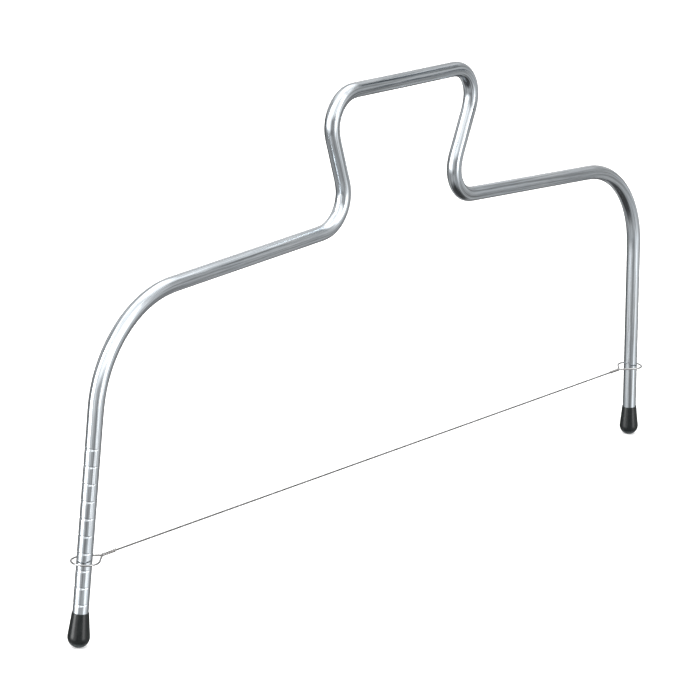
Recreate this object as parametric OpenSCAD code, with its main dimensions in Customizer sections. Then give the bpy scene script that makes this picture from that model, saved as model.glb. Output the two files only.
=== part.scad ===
// Cake leveler. A bow bent from one steel rod stands on two capped feet. A cutting wire has
// an eye at each end, and the eyes slide up and down the legs from ring groove to ring groove.
// Lengths are in millimetres and angles in degrees. The origin lies on the board, midway
// between the feet. +X runs along the wire and +Z points up.

/* [Rod and legs] */
// Diameter of the rod
rod_d = 5; // [4:0.1:6]
// Distance between the middles of the two feet
foot_span = 306; // [240:1:420]
// Outward lean of each leg
leg_lean = 4.5; // [1:0.5:6]
// Height of plain leg between the highest groove and the shoulder bend
leg_plain_h = 12.5; // [4:0.5:60]
// Bevel on the ends of the rod
rod_end_bevel = 0.4; // [0.2:0.1:0.8]
// How much fuller the rod's radius is in its bends, where bending has swelled it
bend_swell = 0.06; // [0.04:0.01:0.2]

/* [Shoulders and handle] */
// Radius of the shoulder bends, to the rod's axis
shoulder_bend_r = 35.5; // [15:0.5:60]
// Fall of each shoulder on its way out to the leg
shoulder_fall = 3; // [0:0.5:8]
// Distance across the neck of the handle, between the corners of the rod's axis
neck_w = 51; // [40:0.5:70]
// Radius of the neck bends, to the rod's axis
neck_bend_r = 11; // [6:0.5:15]
// Height of the handle, from the neck corners to the rod's axis along the top
handle_h = 44.3; // [38:0.1:70]
// Distance across the top of the handle, between the corners of the rod's axis
grip_w = 85.5; // [75:0.5:110]
// Radius of the bends at the top of the handle, to the rod's axis
grip_bend_r = 10.5; // [6:0.5:15]

/* [Grooves] */
// Number of grooves on each leg
groove_count = 10; // [4:1:14]
// Height of the lowest groove above the lip of the foot cap
groove_above_cap = 2.6; // [2:0.1:12]
// Height from one groove to the next
groove_pitch = 5.45; // [3:0.05:9]
// Width of a groove at the surface of the rod
groove_w = 1.1; // [0.5:0.1:1.5]
// Depth of a groove
groove_depth = 0.25; // [0.1:0.05:0.5]
// Share of a groove's width that its gentle lower side takes; its upper side is steep
groove_ramp = 0.75; // [0.3:0.05:0.8]

/* [Cutting wire] */
// Diameter of the wire
wire_d = 0.6; // [0.4:0.05:1]
// Height of the wire's axis above the board, as the tool is set
wire_h = 27.3; // [16:0.1:60]
// Space between the rod and the round end of an eye, at the rod's sides
eye_side_gap = 1.6; // [1.3:0.1:3]
// Clearance of an eye on the leg at each end of the wire's travel
eye_clearance = 0.1; // [0.05:0.05:0.4]
// Length of the twist that closes each eye
twist_l = 7; // [4:0.5:14]
// Turns in each twist
twist_turns = 3.5; // [1:0.5:5]

/* [Foot caps] */
// Widest diameter of a cap
cap_d = 7; // [6.2:0.1:9]
// Length of a cap along the leg
cap_l = 11.3; // [9:0.1:16]
// Thickness of a cap's wall at its lip
cap_lip_wall = 0.2; // [0.1:0.05:0.5]
// Thickness of a cap below the end of the rod
cap_floor = 2.2; // [1.5:0.1:3]
// Diameter of the flat that stands on the board
cap_flat_d = 2.4; // [1.6:0.1:3]
// How much smaller in radius the cap's bore is made than the rod it grips
cap_squeeze = 0.05; // [0.02:0.01:0.1]

/* [Hidden] */
$fn = 64;

rod_r = rod_d / 2;
wire_r = wire_d / 2;
cap_r = cap_d / 2;

// The foot is a ball of the cap's radius, cut flat where it stands
ball_h = sqrt(pow(cap_r, 2) - pow(cap_flat_d / 2, 2));
ball_at = [foot_span / 2, ball_h];

// Heights along a leg, and places along its axis counted from the middle of the ball
cap_lip_at = cap_l - cap_r;
groove_low_h = ball_h + cap_lip_at * cos(leg_lean) + groove_above_cap;
groove_high_h = groove_low_h + (groove_count - 1) * groove_pitch;
rod_end_at = cap_floor - cap_r;
bend_start_h = groove_high_h + leg_plain_h;
function leg_at(h) = (h - ball_h) / cos(leg_lean);
function leg_x(h) = ball_at.x - (h - ball_h) * tan(leg_lean);

// Corners of the rod's axis as [x, height], from the top of the handle to the right foot
shoulder_turn = 90 - leg_lean - shoulder_fall;
shoulder_h = bend_start_h + shoulder_bend_r * tan(shoulder_turn / 2) * cos(leg_lean);
shoulder_at = [leg_x(shoulder_h), shoulder_h];
neck_h = shoulder_h + (shoulder_at.x - neck_w / 2) * tan(shoulder_fall);
neck_at = [neck_w / 2, neck_h];
grip_at = [grip_w / 2, neck_h + handle_h];
grip_mid = [0, neck_h + handle_h];
grip_out = tangent_l(grip_mid, grip_at, neck_at, grip_bend_r);

// The eye's round end clears the leg at the lowest groove, and its straight sides clear
// it at the highest, because the leaning leg comes nearer the middle as the wire goes up
leg_reach = rod_r / cos(leg_lean) + wire_r * tan(leg_lean) + eye_clearance;
eye_r = rod_r + eye_side_gap + wire_r;
eye_mid_x = leg_x(groove_low_h) + leg_reach + wire_r - eye_r;
eye_narrowing = (leg_reach + wire_r) / eye_r;
eye_tip_x = (leg_x(groove_high_h) - eye_narrowing * eye_mid_x) / (1 - eye_narrowing);
eye_half_angle = asin(eye_r / (eye_mid_x - eye_tip_x));
eye_side_l = eye_r / tan(eye_half_angle);

// Straight stretches run on a little inside the swelled bends that they meet
rod_run_on = 0.4;
wire_run_on = 0.15;
wire_bend_swell = 0.01;

// Strands of a twist press into each other a little, so that they make one solid
strand_offset = 0.45 * wire_d;
strand_facets = 10;
slices_per_turn = 14;
twist_end_x = eye_tip_x - twist_l;

function unit(v) = v / norm(v);
function cross_z(a, b) = a.x * b.y - a.y * b.x;
function turn_angle(a, b, c) = acos(unit(b - a) * unit(c - b));
function tangent_l(a, b, c, r) = r * tan(turn_angle(a, b, c) / 2);

// A straight length of rod between two bends, which runs on a little inside both
module rod_straight(from, to) {
    run = to - from;
    start = from - rod_run_on * unit(run);
    translate([start.x, 0, start.y])
        rotate([0, atan2(run.x, run.y), 0])
            cylinder(h = norm(run) + 2 * rod_run_on, r = rod_r);
}

// The bend of the rod at corner b, between the lines from a and to c
module rod_bend(a, b, c, r) {
    turned = turn_angle(a, b, c);
    side = sign(cross_z(b - a, c - b));
    inward = side * [-unit(b - a).y, unit(b - a).x];
    middle = b - unit(b - a) * tangent_l(a, b, c, r) + r * inward;
    first = atan2(-inward.y, -inward.x);
    translate([middle.x, 0, middle.y])
        rotate([90, 0, 0])
            rotate([0, 0, side > 0 ? first : first - turned])
                rotate_extrude(angle = turned)
                    translate([r, 0])
                        circle(r = rod_r + bend_swell);
}

// The straight part of a leg with its bevelled end, and its grooves cut into the outer side
module grooved_leg() {
    place_on_leg()
        difference() {
            rotate_extrude()
                polygon([[0, rod_end_at],
                         [rod_r - rod_end_bevel, rod_end_at],
                         [rod_r, rod_end_at + rod_end_bevel],
                         [rod_r, leg_at(bend_start_h) + rod_run_on],
                         [0, leg_at(bend_start_h) + rod_run_on]]);
            for (i = [0 : groove_count - 1])
                translate([0, 0, leg_at(groove_low_h + i * groove_pitch)])
                    groove_cutter();
        }
}

// What a groove takes away: a ring round an axis that is moved inward by the groove's depth, so that
// the groove is deepest at the leg's outer side and fades out towards its front and its back
module groove_cutter() {
    lower_l = groove_ramp * groove_w;
    upper_l = (1 - groove_ramp) * groove_w / 2;
    translate([-groove_depth, 0, 0])
        rotate_extrude()
            polygon([[rod_r, lower_l - groove_w / 2],
                     [rod_r, groove_w / 2 - upper_l],
                     [rod_r + 2 * groove_depth, groove_w / 2 + upper_l],
                     [rod_r + 2 * groove_depth, -groove_w / 2 - lower_l]]);
}

// Puts a turned shape on the axis of the right leg, with its origin at the foot's ball
module place_on_leg() {
    translate([ball_at.x, 0, ball_at.y])
        rotate([0, -leg_lean, 0])
            children();
}

// Right half of the bow, from the top corner of the handle to the end of the leg
module half_bow() {
    neck_out = tangent_l(grip_at, neck_at, shoulder_at, neck_bend_r);
    shoulder_out = tangent_l(neck_at, shoulder_at, ball_at, shoulder_bend_r);
    down = unit(neck_at - grip_at);
    out = unit(shoulder_at - neck_at);
    rod_bend(grip_mid, grip_at, neck_at, grip_bend_r);
    rod_straight(grip_at + down * grip_out, neck_at - down * neck_out);
    rod_bend(grip_at, neck_at, shoulder_at, neck_bend_r);
    rod_straight(neck_at + out * neck_out, shoulder_at - out * shoulder_out);
    rod_bend(neck_at, shoulder_at, ball_at, shoulder_bend_r);
    grooved_leg();
}

module bow_frame() color([0.78, 0.79, 0.81]) {
    rod_straight([grip_out - grip_at.x, grip_at.y], [grip_at.x - grip_out, grip_at.y]);
    half_bow();
    mirror([1, 0, 0]) half_bow();
}

// A push-on cap: a ball at the bottom, tapering up to a thin lip, with a blind bore
module foot_cap() {
    lip_r = rod_r + cap_lip_wall;
    lip_distance = norm([lip_r, cap_lip_at]);
    touch = atan2(cap_lip_at, lip_r) - acos(cap_r / lip_distance);
    ball_step = 5;
    ball_arc = [for (a = [-90 : ball_step : touch]) cap_r * [cos(a), sin(a)]];
    bore_r = rod_r - cap_squeeze;
    profile = concat(
        ball_arc,
        [cap_r * [cos(touch), sin(touch)], [lip_r, cap_lip_at], [bore_r, cap_lip_at],
         [bore_r, rod_end_at + rod_end_bevel], [bore_r - rod_end_bevel, rod_end_at], [0, rod_end_at]]);
    difference() {
        place_on_leg() rotate_extrude() polygon(profile);
        translate([ball_at.x, 0, -cap_d]) cylinder(h = cap_d, r = cap_d);
    }
}

module right_foot_cap() color([0.09, 0.1, 0.1]) foot_cap();

module left_foot_cap() color([0.09, 0.1, 0.1]) mirror([1, 0, 0]) foot_cap();

// One eye: a round end, two straight sides that run to the tip, and the twist beyond it
module wire_eye() {
    translate([eye_mid_x, 0, 0])
        rotate([0, 0, -90 - eye_half_angle])
            rotate_extrude(angle = 180 + 2 * eye_half_angle)
                translate([eye_r, 0])
                    circle(r = wire_r + wire_bend_swell);
    for (side = [-1, 1])
        translate([eye_tip_x, 0, 0])
            rotate([0, 90, side * eye_half_angle])
                cylinder(h = eye_side_l + wire_run_on, r = wire_r);
    translate([twist_end_x, 0, 0])
        rotate([0, 90, 0])
            linear_extrude(height = twist_l, twist = 360 * twist_turns,
                           slices = ceil(slices_per_turn * twist_turns), $fn = strand_facets)
                for (side = [-1, 1])
                    translate([0, side * strand_offset])
                        circle(r = wire_r);
}

// The straight span of the wire, which runs on a little inside both twists
module cutting_wire() color([0.7, 0.71, 0.73])
    translate([0, 0, wire_h])
        rotate([0, 90, 0])
            cylinder(h = 2 * (twist_end_x + wire_d), r = wire_r, center = true);

module right_wire_eye() color([0.7, 0.71, 0.73]) translate([0, 0, wire_h]) wire_eye();

module left_wire_eye() color([0.7, 0.71, 0.73]) mirror([1, 0, 0]) translate([0, 0, wire_h]) wire_eye();

bow_frame();
left_foot_cap();
right_foot_cap();
cutting_wire();
left_wire_eye();
right_wire_eye();
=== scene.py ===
import math
from collections import namedtuple

import bpy
from mathutils import Matrix, Vector


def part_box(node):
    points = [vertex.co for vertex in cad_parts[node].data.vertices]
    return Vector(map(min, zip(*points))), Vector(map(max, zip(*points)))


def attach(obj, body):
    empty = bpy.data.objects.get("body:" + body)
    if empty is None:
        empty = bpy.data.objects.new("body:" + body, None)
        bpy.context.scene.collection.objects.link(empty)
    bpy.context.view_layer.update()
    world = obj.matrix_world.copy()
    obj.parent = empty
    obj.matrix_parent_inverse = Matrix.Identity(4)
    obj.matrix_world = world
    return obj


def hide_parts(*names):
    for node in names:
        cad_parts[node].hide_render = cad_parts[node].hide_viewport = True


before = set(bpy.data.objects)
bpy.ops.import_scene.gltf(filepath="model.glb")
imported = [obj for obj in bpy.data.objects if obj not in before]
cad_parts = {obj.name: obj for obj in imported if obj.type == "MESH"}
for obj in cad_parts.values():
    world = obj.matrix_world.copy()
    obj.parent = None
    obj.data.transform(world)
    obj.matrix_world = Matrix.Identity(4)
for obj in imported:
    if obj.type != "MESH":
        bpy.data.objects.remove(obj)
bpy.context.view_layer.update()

MM = 0.001

# Driving dimensions of the rod in millimetres, and its angles, as in the part's source, which gives
# diameters where this script has radii
ROD_R = 2.5
FOOT_SPAN = 306.0
LEG_LEAN = math.radians(4.5)
LEG_PLAIN_H = 12.5
ROD_END_BEVEL = 0.4
BEND_SWELL = 0.06
SHOULDER_BEND_R = 35.5
SHOULDER_FALL = math.radians(3.0)
NECK_W = 51.0
NECK_BEND_R = 11.0
HANDLE_H = 44.3
GRIP_W = 85.5
GRIP_BEND_R = 10.5
GROOVE_COUNT = 10
GROOVE_ABOVE_CAP = 2.6
GROOVE_PITCH = 5.45
GROOVE_W = 1.1
GROOVE_DEPTH = 0.25
GROOVE_RAMP = 0.75

# Driving dimensions of the wire
WIRE_R = 0.3
EYE_SIDE_GAP = 1.6
EYE_CLEARANCE = 0.1
TWIST_L = 7.0
TWIST_TURNS = 3.5

# Driving dimensions of the caps
CAP_R = 3.5
CAP_L = 11.3
CAP_LIP_WALL = 0.2
CAP_FLOOR = 2.2
CAP_FLAT_R = 1.2

# Places on a leg, worked out as the part's source does. A name that ends in H is a height above the
# board, and one that ends in AT is a distance along the leg's axis from the middle of the cap's ball.
BALL_H = math.sqrt(CAP_R ** 2 - CAP_FLAT_R ** 2)
LIP_AT = CAP_L - CAP_R
ROD_END_AT = CAP_FLOOR - CAP_R
GROOVE_LOW_H = BALL_H + LIP_AT * math.cos(LEG_LEAN) + GROOVE_ABOVE_CAP
GROOVE_HIGH_H = GROOVE_LOW_H + (GROOVE_COUNT - 1) * GROOVE_PITCH
BEND_START_H = GROOVE_HIGH_H + LEG_PLAIN_H
SHOULDER_TURN = math.pi / 2 - LEG_LEAN - SHOULDER_FALL


def leg_x(height):
    """Distance of the leg's axis from the middle at a height above the board."""
    return FOOT_SPAN / 2 - (height - BALL_H) * math.tan(LEG_LEAN)


def add_to_scene(name, data):
    """A new object that holds the given data, linked to the scene."""
    thing = bpy.data.objects.new(name, data)
    bpy.context.scene.collection.objects.link(thing)
    return thing


# Camera

# It stands where the photograph's did, found by fitting the bow's outline
CAMERA_AT = Vector((-0.81323, -0.60672, 0.35762))
CAMERA_HEADING = math.radians(52.478)
CAMERA_PITCH = math.radians(-16.184)
CAMERA_ROLL = math.radians(2.560)
CAMERA_LENS = 160.68
CAMERA_SENSOR = 36.0
CLIP_NEAR, CLIP_FAR = 0.01, 50


def make_camera():
    """The photograph's camera, from its heading clockwise from +Y, its pitch and its roll."""
    ahead = Vector((math.sin(CAMERA_HEADING) * math.cos(CAMERA_PITCH),
                    math.cos(CAMERA_HEADING) * math.cos(CAMERA_PITCH),
                    math.sin(CAMERA_PITCH)))
    level = Vector((math.cos(CAMERA_HEADING), -math.sin(CAMERA_HEADING), 0))
    upright = level.cross(ahead)
    right = level * math.cos(CAMERA_ROLL) + upright * math.sin(CAMERA_ROLL)
    up = upright * math.cos(CAMERA_ROLL) - level * math.sin(CAMERA_ROLL)
    data = bpy.data.cameras.new("camera")
    data.lens = CAMERA_LENS
    data.sensor_width = CAMERA_SENSOR
    data.clip_start = CLIP_NEAR
    data.clip_end = CLIP_FAR
    camera = add_to_scene("camera", data)
    turn = Matrix((right, up, -ahead)).transposed().to_4x4()
    camera.matrix_world = Matrix.Translation(CAMERA_AT) @ turn
    bpy.context.scene.camera = camera


make_camera()


# Node helpers

def new_material(name):
    """A new node material; returns it, its node tree and its Principled shader."""
    material = bpy.data.materials.new(name)
    material.use_nodes = True
    tree = material.node_tree
    return material, tree, tree.nodes["Principled BSDF"]


def connect(tree, source, target):
    """Links one node's output to another's input."""
    tree.links.new(source, target)


def set_sockets(node, values):
    """Sets a node's input sockets from a table of their names and values."""
    for name, value in values.items():
        node.inputs[name].default_value = value


def math_node(tree, operation, *values):
    """A Math node whose inputs are numbers or other nodes' outputs; returns its output."""
    node = tree.nodes.new("ShaderNodeMath")
    node.operation = operation
    for socket, value in zip(node.inputs, values):
        if isinstance(value, (int, float)):
            socket.default_value = value
        else:
            connect(tree, value, socket)
    return node.outputs[0]


def smooth_range(tree, value, source, target):
    """Maps value smoothly from one (start, end) range to another, and holds it outside them."""
    node = tree.nodes.new("ShaderNodeMapRange")
    node.interpolation_type = "SMOOTHSTEP"
    connect(tree, value, node.inputs["Value"])
    set_sockets(node, {"From Min": source[0], "From Max": source[1],
                       "To Min": target[0], "To Max": target[1]})
    return node.outputs["Result"]


def noise(tree, vector, scale, stretch, detail, roughness):
    """Noise over a vector that is first scaled per axis; returns its 0 to 1 output."""
    mapping = tree.nodes.new("ShaderNodeMapping")
    mapping.inputs["Scale"].default_value = stretch
    connect(tree, vector, mapping.inputs["Vector"])
    node = tree.nodes.new("ShaderNodeTexNoise")
    set_sockets(node, {"Scale": scale, "Detail": detail, "Roughness": roughness})
    connect(tree, mapping.outputs["Vector"], node.inputs["Vector"])
    return node.outputs["Fac"]


def colour_ramp(tree, value, low, high):
    """Goes from one colour to another over value; low and high are each a (position, colour)."""
    node = tree.nodes.new("ShaderNodeValToRGB")
    connect(tree, value, node.inputs["Fac"])
    for element, (position, colour) in zip(node.color_ramp.elements, (low, high)):
        element.position, element.color = position, (*colour, 1)
    return node.outputs["Color"]


def mix_colours(tree, share, colour, other):
    """Goes from a node's colour output to one fixed colour as share goes from 0 to 1."""
    node = tree.nodes.new("ShaderNodeMixRGB")
    connect(tree, share, node.inputs["Fac"])
    connect(tree, colour, node.inputs["Color1"])
    node.inputs["Color2"].default_value = (*other, 1)
    return node.outputs["Color"]


def split_vector(tree, vector):
    """The outputs X, Y and Z of a vector."""
    node = tree.nodes.new("ShaderNodeSeparateXYZ")
    connect(tree, vector, node.inputs["Vector"])
    return node.outputs


def bump(tree, shader, height, strength, distance, after=None):
    """Adds a bump to the shader's normal, on top of an earlier one if given."""
    node = tree.nodes.new("ShaderNodeBump")
    set_sockets(node, {"Strength": strength, "Distance": distance})
    connect(tree, height, node.inputs["Height"])
    if after is not None:
        connect(tree, after, node.inputs["Normal"])
    connect(tree, node.outputs["Normal"], shader.inputs["Normal"])
    return node.outputs["Normal"]


def surface_vector(tree):
    """The place on the piece's skin that mesh code stored: across, across, along, in millimetres."""
    node = tree.nodes.new("ShaderNodeAttribute")
    node.attribute_name = "skin"
    return node.outputs["Vector"]


# Materials

# A stretch that leaves noise alike in all directions
EVEN = (1, 1, 1)

PLATING_PLAIN, PLATING_BRIGHT = (0.85, 0.92, 0.98), (0.90, 0.95, 0.99)
WIRE_BROWN, WIRE_GREY, WIRE_RUBBED = (0.28, 0.27, 0.26), (0.38, 0.38, 0.38), (0.46, 0.46, 0.46)
# The last of these colours is a painted reflection of the pale floor, laid on the cap's lower part
VINYL_DEEP, VINYL_WORN, VINYL_FLOOR_REFLECTION = (0.002, 0.0035, 0.004), (0.006, 0.009, 0.009), (0.085, 0.097, 0.10)

# The wire is rubbed bright from this far inside the leg's axis at the lowest groove, in millimetres
RUBBED_FROM_LEG = 6.0

# The painted reflection of the pale floor on the cap is full below the first of these places along the cap
# and gone above the second, each a share of the ball's radius from the ball's middle
FLOOR_REFLECTION_FULL, FLOOR_REFLECTION_END = -0.75, -0.3
VINYL_IOR = 1.53


def rod_material():
    """Bright plating over drawn rod: fine lines run along it, and handling has dulled it in patches."""
    material, tree, shader = new_material("plated_rod")
    skin = surface_vector(tree)
    lines = noise(tree, skin, scale=1.4, stretch=(1, 1, 0.012), detail=3.0, roughness=0.6)
    fine_lines = noise(tree, skin, scale=9.0, stretch=(1, 1, 0.02), detail=2.0, roughness=0.6)
    patches = noise(tree, skin, scale=0.25, stretch=(1, 1, 0.35), detail=3.0, roughness=0.6)
    specks = noise(tree, skin, scale=6.0, stretch=EVEN, detail=2.0, roughness=0.5)
    tint = colour_ramp(tree, patches, (0.3, PLATING_PLAIN), (0.7, PLATING_BRIGHT))
    streaks = math_node(tree, "MULTIPLY", smooth_range(tree, lines, (0.36, 0.56), (0.56, 1.0)),
                        smooth_range(tree, fine_lines, (0.3, 0.6), (0.80, 1.0)))
    streaked = tree.nodes.new("ShaderNodeVectorMath")
    streaked.operation = "SCALE"
    connect(tree, tint, streaked.inputs["Vector"])
    connect(tree, streaks, streaked.inputs["Scale"])
    connect(tree, streaked.outputs["Vector"], shader.inputs["Base Color"])
    shader.inputs["Metallic"].default_value = 1.0
    dull = smooth_range(tree, patches, (0.3, 0.75), (0.05, 0.10))
    grain = smooth_range(tree, fine_lines, (0.35, 0.7), (0.0, 0.05))
    connect(tree, math_node(tree, "ADD", dull, grain), shader.inputs["Roughness"])
    drawn = bump(tree, shader, lines, strength=0.5, distance=0.0002)
    drawn = bump(tree, shader, fine_lines, strength=0.25, distance=0.00003, after=drawn)
    bump(tree, shader, specks, strength=0.05, distance=0.00002, after=drawn)
    return material


def wire_material():
    """Hard-drawn steel wire with draw lines, dull along the span and rubbed bright at its eyes."""
    material, tree, shader = new_material("steel_wire")
    skin = surface_vector(tree)
    place = split_vector(tree, tree.nodes.new("ShaderNodeTexCoord").outputs["Object"])
    from_middle = math_node(tree, "ABSOLUTE", place["X"])
    rubbed_x = (leg_x(GROOVE_LOW_H) - RUBBED_FROM_LEG) * MM
    rubbed = smooth_range(tree, from_middle, (rubbed_x - MM, rubbed_x + MM), (0.0, 1.0))
    lines = noise(tree, skin, scale=12.0, stretch=(1, 1, 0.03), detail=2.0, roughness=0.5)
    patches = noise(tree, skin, scale=0.8, stretch=(1, 1, 0.5), detail=2.0, roughness=0.5)
    tint = colour_ramp(tree, patches, (0.3, WIRE_BROWN), (0.7, WIRE_GREY))
    connect(tree, mix_colours(tree, rubbed, tint, WIRE_RUBBED), shader.inputs["Base Color"])
    shader.inputs["Metallic"].default_value = 1.0
    dull = smooth_range(tree, patches, (0.3, 0.7), (0.18, 0.32))
    polish = smooth_range(tree, rubbed, (0.0, 1.0), (1.0, 0.6))
    connect(tree, math_node(tree, "MULTIPLY", dull, polish), shader.inputs["Roughness"])
    bump(tree, shader, lines, strength=0.3, distance=0.00003)
    return material


def cap_material():
    """Satin black vinyl with a fine pebble from the dip, and a paler base colour near the board that is a
    painted reflection of the pale floor, broken up by the pebble.
    """
    material, tree, shader = new_material("black_vinyl")
    skin = surface_vector(tree)
    pebble = noise(tree, skin, scale=5.0, stretch=EVEN, detail=3.0, roughness=0.6)
    patches = noise(tree, skin, scale=0.6, stretch=EVEN, detail=3.0, roughness=0.6)
    tint = colour_ramp(tree, patches, (0.3, VINYL_DEEP), (0.75, VINYL_WORN))
    along = split_vector(tree, skin)["Z"]
    # Painted reflection of the pale floor: the base colour turns paler towards the board, broken up by the
    # pebble
    low = smooth_range(tree, along, (FLOOR_REFLECTION_FULL * CAP_R, FLOOR_REFLECTION_END * CAP_R), (1.0, 0.0))
    painted_reflection = math_node(tree, "MULTIPLY", low, smooth_range(tree, pebble, (0.35, 0.65), (0.4, 1.0)))
    connect(tree, mix_colours(tree, painted_reflection, tint, VINYL_FLOOR_REFLECTION), shader.inputs["Base Color"])
    connect(tree, smooth_range(tree, patches, (0.3, 0.75), (0.20, 0.28)), shader.inputs["Roughness"])
    shader.inputs["IOR"].default_value = VINYL_IOR
    bump(tree, shader, pebble, strength=0.25, distance=0.00006)
    return material


ROD_MATERIAL = rod_material()
WIRE_MATERIAL = wire_material()
CAP_MATERIAL = cap_material()


# Mesh helpers

def add_mesh(name, points, faces, skin, material):
    """A smooth mesh from points in millimetres, with each point's place on the skin stored on it."""
    mesh = bpy.data.meshes.new(name)
    mesh.from_pydata([tuple(c * MM for c in p) for p in points], [], faces)
    mesh.update()
    attribute = mesh.attributes.new("skin", "FLOAT_VECTOR", "POINT")
    attribute.data.foreach_set("vector", [c for place in skin for c in place])
    mesh.polygons.foreach_set("use_smooth", [True] * len(mesh.polygons))
    mesh.materials.append(material)
    return add_to_scene(name, mesh)


def tube_faces(rings, sides):
    """Quads between neighbouring rings of points, and a fan of triangles over each end."""
    faces = []
    for ring in range(rings - 1):
        for side in range(sides):
            a = ring * sides + side
            b = ring * sides + (side + 1) % sides
            faces.append((a, b, b + sides, a + sides))
    first, last = rings * sides, rings * sides + 1
    top = (rings - 1) * sides
    for side in range(sides):
        after = (side + 1) % sides
        faces.append((first, after, side))
        faces.append((last, top + side, top + after))
    return faces


def sweep(name, centres, across, radii, sides, material, grooves=None):
    """A round tube along centres, given at each the two directions across it, its radius and how far
    into a groove it lies. Grooves face against the first of the two directions."""
    points, skin = [], []
    along = 0.0
    for i, (centre, (u, v)) in enumerate(zip(centres, across)):
        if i:
            along += (centre - centres[i - 1]).length
        for side in range(sides):
            angle = 2 * math.pi * side / sides
            radius = radii[i]
            if grooves and grooves[i] > 0:
                radius -= groove_cut(grooves[i], -math.cos(angle))
            points.append(centre + radius * (math.cos(angle) * u + math.sin(angle) * v))
            skin.append((radii[i] * math.cos(angle), radii[i] * math.sin(angle), along))
    points += [centres[0], centres[-1]]
    skin += [(0, 0, 0), (0, 0, along)]
    return add_mesh(name, points, tube_faces(len(centres), sides), skin, material)


def smoothstep(low, high, value):
    """Goes smoothly from 0 to 1 as value goes from low to high."""
    t = min(max((value - low) / (high - low), 0.0), 1.0)
    return t * t * (3 - 2 * t)


# Rod

ROD_SIDES = 72

# The length over which a bend's curvature ramps in or out, and the step of the walk along the axis
BEND_RAMP = 7.0
WALK_STEP = 0.05

# Least distances between rings, in millimetres, and what rounding may take off them
BEND_GAP, GROOVE_GAP, PLAIN_GAP = 0.5, 0.05, 5.0
GAP_ROUNDING = 1e-6

# Rings lie close from this share of a bend's full curvature, and up to this share of a groove's width
# from the groove's middle
BENT_FROM = 0.001
GROOVE_NEAR = 0.75

# A place on the half rod's axis: the distance walked from the middle of the handle, its x and height,
# the direction of the walk, and the share of the full bend there
Station = namedtuple("Station", "distance x height heading bent")

# A ring of the rod's skin: its middle's x and height, the axis's direction there, and its radius
Ring = namedtuple("Ring", "x height heading radius")


def corner_points():
    """Corners of the rod's axis as (x, height), from the top of the handle to the foot's ball."""
    shoulder_h = BEND_START_H + SHOULDER_BEND_R * math.tan(SHOULDER_TURN / 2) * math.cos(LEG_LEAN)
    shoulder_x = leg_x(shoulder_h)
    neck_h = shoulder_h + (shoulder_x - NECK_W / 2) * math.tan(SHOULDER_FALL)
    top_h = neck_h + HANDLE_H
    return [Vector((0, top_h)), Vector((GRIP_W / 2, top_h)), Vector((NECK_W / 2, neck_h)),
            Vector((shoulder_x, shoulder_h)), Vector((FOOT_SPAN / 2, BALL_H))]


def bend_plan():
    """The half rod's bends, each as (straight length before it, turn, radius), and its last straight."""
    corners = corner_points()
    radii = [GRIP_BEND_R, NECK_BEND_R, SHOULDER_BEND_R]
    plan, used = [], 0.0
    for a, b, c, radius in zip(corners, corners[1:], corners[2:], radii):
        turn = (b - a).angle_signed(c - b)
        reach = radius * math.tan(abs(turn) / 2)
        plan.append(((b - a).length - used - reach, -turn, radius))
        used = reach
    return plan, (corners[-1] - corners[-2]).length - used - ROD_END_AT


def rod_axis():
    """Walks the half rod from the middle of the handle and returns its stations. Each bend's curvature
    ramps in and out, as a bent rod's does. The small miss at the end is spread over the whole walk."""
    plan, last = bend_plan()
    spans, start = [], 0.0
    for straight, turn, radius in plan:
        start += straight
        spans.append((start, start + abs(turn) * radius, math.copysign(1 / radius, turn)))
        start = spans[-1][1]
    total = start + last
    steps = round(total / WALK_STEP)
    half_ramp = BEND_RAMP / 2
    stations, x, height, heading = [], 0.0, corner_points()[0].y, 0.0
    for i in range(steps + 1):
        distance = total * i / steps
        curvature, bent = 0.0, 0.0
        for begin, end, full in spans:
            into = smoothstep(begin - half_ramp, begin + half_ramp, distance)
            out = smoothstep(end - half_ramp, end + half_ramp, distance)
            curvature += full * (into - out)
            bent += into - out
        stations.append(Station(distance, x, height, heading, bent))
        middle = heading + curvature * total / steps / 2
        x += math.cos(middle) * total / steps
        height += math.sin(middle) * total / steps
        heading += curvature * total / steps
    end_height = BALL_H + ROD_END_AT * math.cos(LEG_LEAN)
    miss = Vector((leg_x(end_height) - x, end_height - height))
    return [s._replace(x=s.x + miss.x * s.distance / total, height=s.height + miss.y * s.distance / total)
            for s in stations]


def eased(t):
    """A ramp from 0 to 1 with slightly rounded ends."""
    return (min(max(t, 0.0), 1.0) + smoothstep(0, 1, t)) / 2


def groove_share(height):
    """How far into a groove a height on the leg lies, from 0 outside it to 1 at its floor. A groove's
    lower side is a gentle ramp and its upper side is steep."""
    nearest = round((height - GROOVE_LOW_H) / GROOVE_PITCH)
    nearest = min(max(nearest, 0), GROOVE_COUNT - 1)
    above = height - GROOVE_LOW_H - nearest * GROOVE_PITCH
    lower = (above + GROOVE_W / 2) / (GROOVE_RAMP * GROOVE_W)
    upper = (GROOVE_W / 2 - above) / ((1 - GROOVE_RAMP) * GROOVE_W / 2)
    return min(eased(lower), eased(upper))


def groove_cut(share, outward):
    """How much a groove takes off the radius, given the share above and the cosine of the angle to the
    leg's outer side, where it is deepest. It fades out towards the leg's front and back."""
    return GROOVE_DEPTH * max(share + outward - 1, 0.0)


def ring_stations(stations):
    """Picks stations for rings: close together in bends and grooves, far apart on plain rod."""
    picked = [stations[0]]
    for station in stations[1:-1]:
        on_leg = station.height < BEND_START_H
        near = min(abs(station.height - GROOVE_LOW_H - i * GROOVE_PITCH) for i in range(GROOVE_COUNT))
        if on_leg and near < GROOVE_W * GROOVE_NEAR:
            wanted = GROOVE_GAP
        elif station.bent > BENT_FROM or picked[-1].bent > BENT_FROM:
            wanted = BEND_GAP
        else:
            wanted = PLAIN_GAP
        if station.distance - picked[-1].distance >= wanted - GAP_ROUNDING:
            picked.append(station)
    return picked


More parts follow.
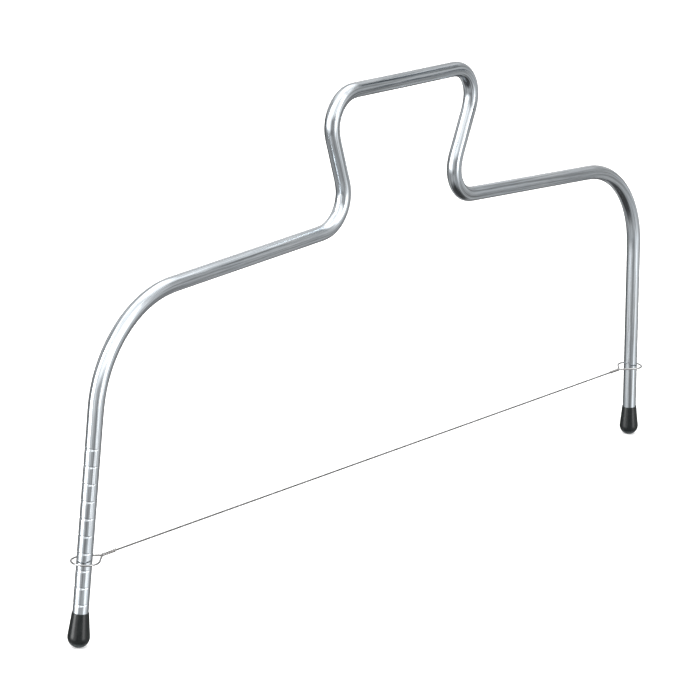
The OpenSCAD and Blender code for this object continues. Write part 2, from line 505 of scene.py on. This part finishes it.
def rod_rings():
    """Rings of the whole rod from its left end to its right end, with a bevel at each."""
    stations = rod_axis()
    half = [Ring(s.x, s.height, s.heading, ROD_R + BEND_SWELL * s.bent) for s in ring_stations(stations)]
    end = stations[-1]
    tip = Vector((end.x, end.height))
    back = Vector((-math.cos(end.heading), -math.sin(end.heading))) * ROD_END_BEVEL
    while (Vector((half[-1].x, half[-1].height)) - tip).length <= ROD_END_BEVEL:
        half.pop()
    half.append(Ring(end.x + back.x, end.height + back.y, end.heading, ROD_R))
    half.append(Ring(end.x, end.height, end.heading, ROD_R - ROD_END_BEVEL))
    mirrored = [ring._replace(x=-ring.x, heading=-ring.heading) for ring in half[:0:-1]]
    return mirrored + half


def make_rod():
    """The whole bow as one round rod, with its grooves, its bends and its bevelled ends."""
    rings = rod_rings()
    centres = [Vector((ring.x, 0, ring.height)) for ring in rings]
    across = [(Vector((math.sin(ring.heading), 0, -math.cos(ring.heading))), Vector((0, 1, 0)))
              for ring in rings]
    radii = [ring.radius for ring in rings]
    grooves = [groove_share(ring.height) if ring.height < BEND_START_H else 0.0 for ring in rings]
    piece = sweep("plated_rod_bow", centres, across, radii, ROD_SIDES, ROD_MATERIAL, grooves)
    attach(piece, "bow")
    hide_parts("bow_frame")


make_rod()


# Foot caps

CAP_SIDES = 96
BALL_STEPS, TAPER_STEPS, LIP_STEPS = 40, 16, 4

# The lip's rounding, and how far below its top the bore's edge and the bore's next ring lie
LIP_ROUND = 0.06
BORE_EDGE_L, BORE_RING_L = 0.02, 0.4

# Gaps that keep the bore clear of the rod's side and end
BORE_GAP, END_GAP = 0.01, 0.02

# Shifts the place on the skin of each cap, so that the two caps don't wear the same marks
MARKS_APART = 40


def cap_profile():
    """Outline of a cap as (radius, place along the leg), from the bottom up and down into the bore."""
    lip_r = ROD_R + CAP_LIP_WALL
    touch = math.atan2(LIP_AT, lip_r) - math.acos(CAP_R / math.hypot(lip_r, LIP_AT))
    outline = []
    for i in range(1, BALL_STEPS + 1):
        angle = -math.pi / 2 + (touch + math.pi / 2) * i / BALL_STEPS
        outline.append((CAP_R * math.cos(angle), CAP_R * math.sin(angle)))
    low_r, low_at = outline[-1]
    for i in range(1, TAPER_STEPS + 1):
        t = i / TAPER_STEPS
        outline.append((low_r + (lip_r - low_r) * t, low_at + (LIP_AT - LIP_ROUND - low_at) * t))
    for i in range(1, LIP_STEPS + 1):
        angle = math.pi / 2 * i / LIP_STEPS
        outline.append((lip_r - LIP_ROUND * (1 - math.cos(angle)),
                        LIP_AT - LIP_ROUND * (1 - math.sin(angle))))
    bore_r = ROD_R + BORE_GAP
    outline += [(bore_r, LIP_AT - BORE_EDGE_L), (bore_r, LIP_AT - BORE_RING_L),
                (bore_r, ROD_END_AT + ROD_END_BEVEL), (bore_r - ROD_END_BEVEL, ROD_END_AT - END_GAP)]
    return outline


def make_cap(name, node, side):
    """One push-on cap, turned about the leg's axis and flattened where it stands."""
    outline = cap_profile()
    axis = Vector((-side * math.sin(LEG_LEAN), 0, math.cos(LEG_LEAN)))
    outward = Vector((math.cos(LEG_LEAN), 0, side * math.sin(LEG_LEAN)))
    back = Vector((0, 1, 0))
    ball = Vector((side * FOOT_SPAN / 2, 0, BALL_H))
    shift = side * MARKS_APART
    points, skin = [], []
    for radius, at in outline:
        for i in range(CAP_SIDES):
            angle = 2 * math.pi * i / CAP_SIDES
            point = ball + axis * at + radius * (math.cos(angle) * outward + math.sin(angle) * back)
            point.z = max(point.z, 0.0)
            points.append(point)
            skin.append((radius * math.cos(angle) + shift, radius * math.sin(angle), at))
    bottom = ball - axis * CAP_R
    bottom.z = 0.0
    points += [bottom, ball + axis * (ROD_END_AT - END_GAP)]
    skin += [(shift, 0, -CAP_R), (shift, 0, ROD_END_AT)]
    piece = add_mesh(name, points, tube_faces(len(outline), CAP_SIDES), skin, CAP_MATERIAL)
    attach(piece, "bow")
    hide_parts(node)


make_cap("left_vinyl_cap", "left_foot_cap", -1)
make_cap("right_vinyl_cap", "right_foot_cap", 1)


# Cutting wire

WIRE_SIDES = 16

# The distance between centre points near the eye, and how many steps the eye's round end and half the
# straight span have
WIRE_STEP = 0.12
EYE_STEPS = 72
SPAN_STEPS = 14

# The straight span's last points before the twist lie close together, from this far before it
APPROACH_L = 1.0
APPROACH_STEPS = 6

# The lead strand leaves the axis from this far before the twist to this far into it
BLEND_EARLY = 0.2
BLEND_L = 1.6

# The tail stops this far short of the twist's start, and each cut end keeps this share of the radius
TAIL_SHORT = 0.5
CUT_END = 0.8

# Kinks are rounded off in this many passes, only where a point's neighbours are closer than this
KINK_PASSES = 6
KINK_L = 1.0


def eye_layout():
    """The eye's round end and tip: (radius, middle x, tip x, half angle at the tip)."""
    reach = ROD_R / math.cos(LEG_LEAN) + WIRE_R * math.tan(LEG_LEAN) + EYE_CLEARANCE
    eye_r = ROD_R + EYE_SIDE_GAP + WIRE_R
    middle_x = leg_x(GROOVE_LOW_H) + reach + WIRE_R - eye_r
    narrowing = (reach + WIRE_R) / eye_r
    tip_x = (leg_x(GROOVE_HIGH_H) - narrowing * middle_x) / (1 - narrowing)
    return eye_r, middle_x, tip_x, math.asin(eye_r / (middle_x - tip_x))


def strand(x, twist_start, tip_x, lead):
    """A point of one strand of the twist. The lead strand is the span itself; the other is the tail."""
    angle = 2 * math.pi * TWIST_TURNS * (x - tip_x) / TWIST_L
    lead_r = WIRE_R * smoothstep(twist_start - BLEND_EARLY, twist_start + BLEND_L, x)
    radius = lead_r if lead else -(2 * WIRE_R - lead_r)
    return Vector((x, radius * math.cos(angle), radius * math.sin(angle)))


def right_wire_path():
    """Centre points of the wire from the middle of the span, through the twist, round the eye and back."""
    eye_r, middle_x, tip_x, half_angle = eye_layout()
    twist_start = tip_x - TWIST_L
    steps = round(TWIST_L / WIRE_STEP)
    path = [Vector((twist_start * i / SPAN_STEPS, 0, 0)) for i in range(SPAN_STEPS)]
    path += [Vector((twist_start - APPROACH_L + i * WIRE_STEP, 0, 0)) for i in range(APPROACH_STEPS)]
    path += [strand(twist_start + TWIST_L * i / steps, twist_start, tip_x, True) for i in range(steps + 1)]
    side_steps = round(eye_r / math.tan(half_angle) / WIRE_STEP / 2)
    touch = Vector((middle_x - eye_r * math.sin(half_angle), eye_r * math.cos(half_angle), 0))
    leave = Vector((tip_x, WIRE_R, 0))
    path += [leave.lerp(touch, i / side_steps) for i in range(1, side_steps)]
    for i in range(EYE_STEPS + 1):
        angle = (math.pi / 2 + half_angle) * (1 - 2 * i / EYE_STEPS)
        path.append(Vector((middle_x + eye_r * math.cos(angle), eye_r * math.sin(angle), 0)))
    way_back = [leave.lerp(touch, 1 - i / side_steps) for i in range(1, side_steps)]
    path += [Vector((p.x, -p.y, p.z)) for p in way_back]
    tail_l = TWIST_L - TAIL_SHORT
    tail_steps = round(tail_l / WIRE_STEP)
    tail_x = [tip_x - tail_l * i / tail_steps for i in range(tail_steps + 1)]
    path += [strand(x, twist_start, tip_x, False) for x in tail_x]
    return path


def rounded(path):
    """Rounds off kinks by moving each inner point towards its neighbours' middle, where points lie close."""
    for _ in range(KINK_PASSES):
        moved = [p.copy() for p in path]
        for i in range(1, len(path) - 1):
            if (path[i + 1] - path[i - 1]).length < KINK_L:
                moved[i] = path[i] * 0.5 + (path[i - 1] + path[i + 1]) * 0.25
        path = moved
    return path


def carried_frames(centres):
    """Two directions across the wire at each point, carried along it without twisting."""
    frames = []
    u = Vector((0, 0, 1))
    for i in range(len(centres)):
        before, after = centres[max(i - 1, 0)], centres[min(i + 1, len(centres) - 1)]
        ahead = (after - before).normalized()
        u = (u - ahead * u.dot(ahead)).normalized()
        frames.append((u.copy(), ahead.cross(u)))
    return frames


def make_wire():
    """The whole cutting wire as one length: tail, eye, twist, span, twist, eye and tail."""
    right = rounded(right_wire_path())
    left = [Vector((-p.x, p.y, p.z)) for p in right[:0:-1]]
    wire_h = (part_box("cutting_wire")[0].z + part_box("cutting_wire")[1].z) / 2 / MM
    centres = [p + Vector((0, 0, wire_h)) for p in left + right]
    radii = [WIRE_R] * len(centres)
    radii[0] = radii[-1] = WIRE_R * CUT_END
    piece = sweep("cutting_wire_drawn", centres, carried_frames(centres), radii, WIRE_SIDES, WIRE_MATERIAL)
    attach(piece, "wire")
    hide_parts("cutting_wire", "left_wire_eye", "right_wire_eye")


make_wire()


# Studio

# Light and dark surroundings that the camera sees only in the tool, each laid over the ones before it:
# the heading of its middle clockwise from +Y, half its width and how soft its sides are, its lowest and
# highest elevation and how soft those edges are, all in degrees, and its brightness. One that reaches
# the zenith has no upper edge.
ZENITH = 90
PANELS = [
    ("far_wall", 30, 54, 10, -24, ZENITH, 6, 0.55),
    ("right_wall", 106, 28, 8, -36, ZENITH, 6, 0.36),
    ("high_right_strip", 98, 21, 7, 31, 60, 5, 0.62),
    ("ceiling", 0, 360, 10, 44, ZENITH, 6, 1.60),
    ("right_fringe", 147, 11, 5, -24, 40, 6, 0.57),
    ("high_front_panel", 228, 50, 8, 14, ZENITH, 10, 1.30),
    ("left_panel", 284, 30, 9, -23, ZENITH, 7, 1.15),
    ("right_panel", 174, 20, 8, -26, ZENITH, 9, 1.15),
    ("left_panel_core", 296, 14, 6, -12, 60, 6, 5.00),
    ("right_panel_core", 178, 10, 5, -14, 60, 6, 3.00),
    ("right_edge_strip", 84, 14, 7, -28, -2, 4, 0.16),
    ("right_glow", 102, 12, 6, -14, 0, 5, 0.55),
    ("back_strip", 48, 16, 7, 8, 24, 5, 0.72),
    ("far_floor", 32, 14, 7, -46, -30, 5, 0.60),
    ("left_floor", 282, 40, 12, -48, -26, 5, 0.42),
    ("under_strip", 72, 14, 6, -48, -29, 4, 0.18),
    ("low_right_strip", 122, 9, 5, -29, -16, 4, 0.26),
    ("middle_right_strip", 127, 9, 5, 1, 20, 4, 0.45),
    ("low_front_strip", 240, 15, 8, -30, -17, 4, 0.23),
    ("left_edge_strip", 358, 23, 7, -32, 4, 5, 0.18),
    ("edge_flag", 52, 30, 8, -32, 2, 6, 0.08),
]

# Behind the panels the room's level darkens to the floor's, between two elevations in degrees
ROOM_LEVEL = 0.40
FLOOR_LEVEL = 0.05
FLOOR_FROM, FLOOR_TO = -68, -40

# The floor that takes the shadow, in metres, set just below the board's level
FLOOR_HALF = 3.0
FLOOR_Z = -0.00005
FLOOR_GLOW = 0.35

FLAG_GREY = (0.12, 0.13, 0.14)
LAMP_AIM = Vector((0, 0, 0.06))

# Corners of a card, as steps of half its sides from its middle
SQUARE = ((-1, -1), (1, -1), (1, 1), (-1, 1))


def soft_step(tree, value, edge, soft, target):
    """Goes smoothly from the target's first value to its second where an angle in radians crosses an
    edge given in degrees."""
    return smooth_range(tree, value, (math.radians(edge - soft), math.radians(edge + soft)), target)


def studio_level(tree):
    """Brightness of the studio in the direction that metal and gloss look."""
    direction = split_vector(tree, tree.nodes.new("ShaderNodeTexCoord").outputs["Generated"])
    heading = math_node(tree, "ARCTAN2", direction["X"], direction["Y"])
    elevation = math_node(tree, "ARCSINE", direction["Z"])
    level = smooth_range(tree, elevation, (math.radians(FLOOR_FROM), math.radians(FLOOR_TO)),
                         (FLOOR_LEVEL, ROOM_LEVEL))
    for _, middle, half_width, side_soft, lowest, highest, edge_soft, brightness in PANELS:
        turned = math_node(tree, "SUBTRACT", heading, math.radians(middle))
        away = math_node(tree, "ABSOLUTE", math_node(tree, "WRAP", turned, math.pi, -math.pi))
        top = highest + edge_soft if highest == ZENITH else highest
        inside = soft_step(tree, away, half_width, side_soft, (1, 0))
        above = soft_step(tree, elevation, lowest, edge_soft, (0, 1))
        below = soft_step(tree, elevation, top, edge_soft, (1, 0))
        inside = math_node(tree, "MULTIPLY", inside, math_node(tree, "MULTIPLY", above, below))
        kept = math_node(tree, "MULTIPLY", level, math_node(tree, "SUBTRACT", 1.0, inside))
        level = math_node(tree, "MULTIPLY_ADD", inside, brightness, kept)
    return level


def make_world():
    """A white backdrop for the camera, and a grey studio with soft panels for gloss and shade."""
    world = bpy.data.worlds.new("studio")
    bpy.context.scene.world = world
    world.use_nodes = True
    tree = world.node_tree
    tree.nodes.clear()
    studio = tree.nodes.new("ShaderNodeBackground")
    connect(tree, studio_level(tree), studio.inputs["Color"])
    white = tree.nodes.new("ShaderNodeBackground")
    white.inputs["Color"].default_value = (1, 1, 1, 1)
    mix = tree.nodes.new("ShaderNodeMixShader")
    connect(tree, tree.nodes.new("ShaderNodeLightPath").outputs["Is Camera Ray"], mix.inputs[0])
    connect(tree, studio.outputs[0], mix.inputs[1])
    connect(tree, white.outputs[0], mix.inputs[2])
    output = tree.nodes.new("ShaderNodeOutputWorld")
    connect(tree, mix.outputs[0], output.inputs["Surface"])


def add_card(name, corners, material):
    """A flat card with the given corners, in metres."""
    mesh = bpy.data.meshes.new(name)
    mesh.from_pydata(corners, [], [(0, 1, 2, 3)])
    mesh.materials.append(material)
    return add_to_scene(name, mesh)


def make_floor():
    """A plain pale floor that takes the tool's soft shadow; metal sees the panels instead of it."""
    material, tree, shader = new_material("pale_floor")
    set_sockets(shader, {"Base Color": (0.9, 0.9, 0.9, 1), "Roughness": 0.9, "Specular IOR Level": 0.1})
    glow = tree.nodes.new("ShaderNodeEmission")
    glow.inputs["Strength"].default_value = FLOOR_GLOW
    total = tree.nodes.new("ShaderNodeAddShader")
    connect(tree, shader.outputs[0], total.inputs[0])
    connect(tree, glow.outputs[0], total.inputs[1])
    connect(tree, total.outputs[0], tree.nodes["Material Output"].inputs["Surface"])
    floor = add_card("floor", [(i * FLOOR_HALF, j * FLOOR_HALF, 0) for i, j in SQUARE], material)
    floor.location = (0, 0, FLOOR_Z)
    floor.visible_glossy = False


def make_flag(name, middle, along, across):
    """A dark card that metal and gloss alone can see, from its middle and its two half sides in
    millimetres."""
    material, _, shader = new_material(name)
    set_sockets(shader, {"Base Color": (0, 0, 0, 1), "Specular IOR Level": 0,
                         "Emission Color": (*FLAG_GREY, 1), "Emission Strength": 1})
    corners = [middle + i * along + j * across for i, j in SQUARE]
    flag = add_card(name, [tuple(corner * MM) for corner in corners], material)
    flag.visible_camera = False
    flag.visible_diffuse = False
    flag.visible_shadow = False
    flag.visible_transmission = False


def make_lamp(name, at, size, watts):
    """A large soft lamp that looks at the tool and isn't itself reflected."""
    data = bpy.data.lights.new(name, "AREA")
    data.shape = "DISK"
    data.size = size
    data.energy = watts
    lamp = add_to_scene(name, data)
    lamp.location = at
    lamp.rotation_euler = (LAMP_AIM - at).to_track_quat("-Z", "Y").to_euler()
    lamp.visible_glossy = False


make_world()
make_floor()
make_flag("handle_flag", middle=Vector((102, -38, 228)), along=Vector((36, 0, 0)), across=Vector((0, 21, 11)))
make_flag("front_flag", middle=Vector((86, -64, 143)), along=Vector((36, 0, 0)), across=Vector((0, 3, 10)))
make_lamp("overhead_lamp", at=Vector((-0.3, -0.2, 1.6)), size=1.4, watts=9.0)

bpy.context.scene.view_settings.view_transform = "Standard"
